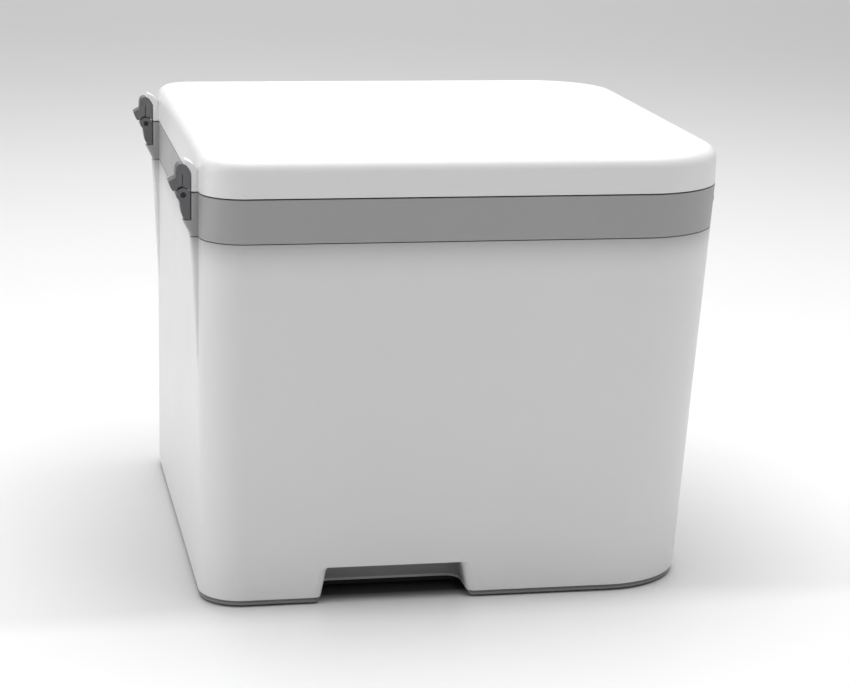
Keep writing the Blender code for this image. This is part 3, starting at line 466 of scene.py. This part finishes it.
# The strokes of a seven-bar digit, from corner to corner of a unit box
BARS = {"a": ((0, 1), (1, 1)), "b": ((1, 0.5), (1, 1)), "c": ((1, 0), (1, 0.5)),
        "d": ((0, 0), (1, 0)), "e": ((0, 0), (0, 0.5)), "f": ((0, 0.5), (0, 1)),
        "g": ((0, 0.5), (1, 0.5))}
DIGITS = {"0": "abcdef", "2": "abdeg", "4": "bcfg", "5": "acdfg"}


def pointed_bar(start, end, width):
    start, end = Vector(start), Vector(end)
    along = (end - start).normalized()
    side = Vector((-along.y, along.x)) * width / 2
    tip, tail = start + along * 0.2 * width, end - along * 0.2 * width
    near, far = tip + along * width / 2, tail - along * width / 2
    return [tip, near + side, far + side, tail, far - side, near - side]


def make_display(materials):
    """Two glowing readings behind the smoked window."""
    frame = user_frame(PANEL_PLACE)
    (width, height), depths = DIGIT_SIZE, DISPLAY_DEPTHS
    solid = bmesh.new()
    for digit, left in READINGS:
        for bar in DIGITS[digit]:
            ends = [(left + u * width, (v - 0.5) * height + 1.0) for u, v in BARS[bar]]
            slab(solid, pointed_bar(*ends, DIGIT_STROKE), depths, frame)
    for y in (-37.6, -8.6):
        slab(solid, ring_of((y, -4.8), 0.8, 16), depths, frame)
    for k in range(5):
        left = READINGS[0][1] + 4 * k
        slab(solid, [(left, -9.6), (left + 3, -9.6), (left + 3, -8.6), (left, -8.6)], depths,
             frame)
    place_piece("display_digits", solid, materials["digits"], "cabinet")


def make_key_marks(materials):
    """An up arrow, a down arrow and an on mark, standing just proud of the keys."""
    depths = (0.6, 0.92)
    for number, y in enumerate(KEY_YS, 1):
        frame = user_frame(PANEL_PLACE) @ Matrix.Translation((0.0, y * MM, 0.0))
        solid = bmesh.new()
        if number == 3:
            slab(solid, open_ring((0.0, 0.0), 2.6, 1.9, 120.0, 420.0), depths, frame)
            slab(solid, [(-0.35, 0.6), (0.35, 0.6), (0.35, 3.0), (-0.35, 3.0)], depths, frame)
        else:
            up = 1.0 if number == 1 else -1.0
            slab(solid, [(-2.6, -1.5 * up), (2.6, -1.5 * up), (0.0, 2.2 * up)], depths, frame)
        place_piece(f"key_mark_{number}", solid, materials["markings"], f"key_{number}")


def make_panel_lamps(materials):
    """A small lens over each key; one is lit."""
    profile = [(-0.4, 0.03), (-0.4, 1.3), (0.12, 1.3), (0.32, 0.95), (0.42, 0.5), (0.45, 0.03)]
    for number, y in enumerate(KEY_YS, 1):
        frame = user_frame(PANEL_PLACE) @ Matrix.Translation((0.0, y * MM, LAMP_RISE * MM))
        solid = bmesh.new()
        lathe(solid, profile, frame, 20)
        finish = materials["lamp_on" if number == 1 else "lamp_off"]
        place_piece(f"panel_lamp_{number}", solid, finish, "cabinet")


def make_outlets(materials):
    """Each filament outlet as a turned body, its release collar, its tube's end and dots
    that count the outlets."""
    body = [(-7.0, 2.2), (-7.0, 4.2), (0.3, 4.2), (0.3, 7.0), (1.6, 7.0), (2.0, 6.6), (2.0, 4.6),
            (2.2, 4.4), (4.1, 4.4), (4.4, 4.1), (4.4, 3.45), (3.0, 3.45), (3.0, 2.2)]
    collar = [(3.1, 2.15), (3.1, 3.35), (4.55, 3.35), (4.6, 3.7), (4.8, 3.7), (4.88, 3.5),
              (4.88, 2.5), (4.7, 2.15)]
    tube = [(-6.9, 1.1), (-6.9, 2.05), (4.3, 2.05), (4.4, 1.95), (4.4, 1.2), (4.3, 1.1)]
    for number, place in enumerate(OUTLET_PLACES, 1):
        frame = user_frame(place)
        for name, profile, finish in (("body", body, "grey_plastic"),
                                      ("collar", collar, "black_plastic"),
                                      ("tube", tube, "clear_tube")):
            solid = bmesh.new()
            lathe(solid, profile, frame)
            place_piece(f"outlet_{name}_{number}", solid, materials[finish],
                                      "cabinet")
        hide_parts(f"filament_outlet_{number}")
        solid = bmesh.new()
        for k in range(number):
            across = (k - (number - 1) / 2) * 3.0
            spot = frame @ Matrix.Translation((0.0, across * MM, -10.6 * MM))
            lathe(solid, [(-0.3, 0.03), (-0.3, 0.75), (0.1, 0.7), (0.28, 0.4), (0.32, 0.03)],
                  spot, 16)
        place_piece(f"outlet_count_{number}", solid, materials["markings"], "cabinet")


def make_rocker_marks(materials):
    """A line and a ring, one on each slope of the power rocker."""
    place = Matrix.Translation(ROCKER_PLACE) @ Matrix.Rotation(-SIDE_TILT, 4, "X")
    turn = Matrix.Rotation(math.pi / 2, 4, "Z")
    line = [[(-0.4, -2.0), (0.4, -2.0), (0.4, 2.0), (-0.4, 2.0)]]
    ring = [open_ring((0, 0), 2.1, 1.5, start, start + 180.0) for start in (0.0, 180.0)]
    for name, middle, slope, outlines in (
            ("on", (1.5, 4.0), math.atan2(2.6, 8.0), line),
            ("off", (0.9, -4.5), math.atan2(-1.4, 9.0), ring)):
        y, z = middle
        frame = (place @ Matrix.Translation((0.0, y * MM, z * MM))
                 @ Matrix.Rotation(-slope, 4, "X") @ turn)
        solid = bmesh.new()
        for outline in outlines:
            slab(solid, outline, (-0.3, 0.12), frame)
        place_piece(f"rocker_mark_{name}", solid, materials["markings"], "rocker")


def make_beads(materials):
    """Two layers of desiccant beads under the cassette's slotted cover."""
    low, high = (Vector(corner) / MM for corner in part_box("desiccant_cassette"))
    rim_and_wall, pitch, radius = 5.0, 3.7, 1.8
    first_layer_drop, layer_rise = 11.5, 3.0
    chance = random.Random(5)
    solid = bmesh.new()
    for layer in range(2):
        z = high.z - first_layer_drop + layer_rise * layer
        shift = 0.5 * pitch * layer
        x = low.x + rim_and_wall + radius + shift
        while x < high.x - rim_and_wall - radius:
            y = low.y + rim_and_wall + radius + shift
            while y < high.y - rim_and_wall - radius:
                spot = Vector((x, y, z)) + Vector(chance.uniform(-0.25, 0.25) for _ in range(3))
                bmesh.ops.create_icosphere(
                    solid, subdivisions=2, radius=radius * chance.uniform(0.86, 1.0) * MM,
                    matrix=Matrix.Translation(spot * MM))
                y += pitch
            x += pitch
    place_piece("desiccant_beads", solid, materials["beads"], "cassette")


def refine_all(materials):
    rounded = {
        "lid_shell": 0.5, "collar_band": 0.4, "body_shell": 0.5, "base_tray": 0.3,
        "hinge_near_lid_leaf": 0.35, "hinge_far_lid_leaf": 0.35, "hinge_near_body_leaf": 0.35,
        "hinge_far_body_leaf": 0.35, "control_panel": 0.3, "power_inlet": 0.4,
        "switch_frame": 0.4, "power_rocker": 0.5, "vent_grille": 0.3, "vent_shutter": 0.3,
        "spool_chamber": 0.5, "lid_liner": 0.4, "desiccant_cassette": 0.4, "cassette_cover": 0.4,
        "humidity_sensor": 0.6, "fan_frame": 0.4, "heater_duct": 0.4, "air_grille": 0.3,
        "roller_cradle_1": 0.3, "roller_cradle_2": 0.3, "roller_cradle_3": 0.3,
        "lid_magnet": 0.2, "collar_magnet": 0.2, "power_supply": 0.6, "display_window": 0.2,
        "lid_gasket": 0.6, "fan_impeller": 0.2,
    }
    for node in sorted(NODES):
        if not node.startswith("filament_outlet"):
            refine(node, materials, rounded.get(node, 0.0))


# ---------------------------------------------------------------- studio

def make_camera():
    yaw, pitch, roll = (math.radians(a) for a in (CAMERA_YAW, CAMERA_PITCH, CAMERA_ROLL))
    right = Vector((math.cos(yaw), -math.sin(yaw), 0.0))
    ahead = Vector((math.sin(yaw) * math.cos(pitch), math.cos(yaw) * math.cos(pitch),
                    -math.sin(pitch)))
    up = right.cross(ahead)
    across = right * math.cos(roll) + up * math.sin(roll)
    above = up * math.cos(roll) - right * math.sin(roll)
    turn = Matrix((across, above, -ahead)).transposed()
    data = bpy.data.cameras.new("camera")
    data.lens = CAMERA_LENS
    data.sensor_width = 36.0
    camera = bpy.data.objects.new("camera", data)
    camera.matrix_world = Matrix.Translation(CAMERA_PLACE) @ turn.to_4x4()
    bpy.context.scene.collection.objects.link(camera)
    bpy.context.scene.camera = camera


def area_light(name, place, target, size, power):
    data = bpy.data.lights.new(name, "AREA")
    data.shape = "RECTANGLE"
    data.size, data.size_y = size
    data.energy = power
    light = bpy.data.objects.new(name, data)
    light.location = place
    aim = Vector(target) - Vector(place)
    light.rotation_mode = "QUATERNION"
    light.rotation_quaternion = aim.to_track_quat("-Z", "Y")
    bpy.context.scene.collection.objects.link(light)


def foot_shade(recipe):
    """Painted soft shade on the floor, most beside the box and fading to the back."""
    low, high = CAD_BOX
    axes = recipe.node("SeparateXYZ", Vector=recipe.place).outputs
    left = recipe.spread(axes["X"], 1.0, 0.0, low[0] - 0.24, low[0] + 0.01)
    right = recipe.spread(axes["X"], 0.0, 1.0, high[0] - 0.01, high[0] + 0.2)
    near = recipe.spread(axes["Y"], 1.0, 0.0, low[1] - 0.035, low[1] + 0.01)
    far = recipe.spread(axes["Y"], 0.0, 1.0, -0.12, high[1] + 0.2)
    across = recipe.node("Math", {"operation": "ADD"}, Value=left)
    recipe.link(right, across.inputs[1])
    along = recipe.node("Math", {"operation": "ADD"}, Value=near)
    recipe.link(far, along.inputs[1])
    offset = recipe.node("CombineXYZ", X=across.outputs[0], Y=along.outputs[0])
    length = recipe.node("VectorMath", {"operation": "LENGTH"}, Vector=offset.outputs[0])
    closeness = recipe.spread(length.outputs["Value"], 1.0, 0.0, 0.0, 1.0)
    soft = recipe.node("Math", {"operation": "POWER"}, Value=closeness)
    soft.inputs[1].default_value = 1.3
    return recipe.spread(soft.outputs[0], 0.0, FLOOR_SHADE, 0.0, 1.0)


def make_studio():
    solid = bmesh.new()
    bmesh.ops.create_circle(solid, cap_ends=True, radius=30.0, segments=96)
    mesh = bpy.data.meshes.new("floor")
    solid.to_mesh(mesh)
    solid.free()
    recipe = Recipe("floor", 0.3)
    recipe.shader.inputs["Specular IOR Level"].default_value = 0.25
    pale = recipe.blend(recipe.noise(400.0), (0.80, 0.80, 0.80), (0.82, 0.82, 0.82))
    # Painted shade on the floor: soft beside the box, and deep inside the hand grips
    pale = recipe.blend(foot_shade(recipe), pale, (0.0, 0.0, 0.0))
    deep = grip_painted_shade(recipe, GRIP_FLOOR_SHADE, (-0.001, 0.001), (0.161, 0.173))
    recipe.colour(recipe.blend(deep, pale, (0.0, 0.0, 0.0)))
    mesh.materials.append(recipe.material)
    floor = bpy.data.objects.new("floor", mesh)
    floor.location.z = -0.0002
    bpy.context.scene.collection.objects.link(floor)

    world = bpy.data.worlds.new("studio")
    world.use_nodes = True
    background = world.node_tree.nodes["Background"]
    background.inputs["Color"].default_value = (1.0, 1.0, 1.0, 1.0)
    background.inputs["Strength"].default_value = 0.32
    bpy.context.scene.world = world
    area_light("overhead", (0.15, 0.2, 2.2), (0.05, 0.0, 0.0), (2.8, 2.4), 74.0)
    area_light("left_fill", (-2.6, -0.1, 0.6), (0.0, 0.0, 0.15), (1.6, 1.0), 12.0)
    area_light("far_floor", (0.6, 4.8, 3.0), (0.6, 5.3, 0.0), (5.0, 3.0), 72.0)


def main():
    bpy.context.scene.view_settings.view_transform = "Standard"
    make_camera()
    materials = make_materials()
    refine_all(materials)
    make_display(materials)
    make_key_marks(materials)
    make_panel_lamps(materials)
    make_outlets(materials)
    make_rocker_marks(materials)
    make_beads(materials)
    make_studio()


main()
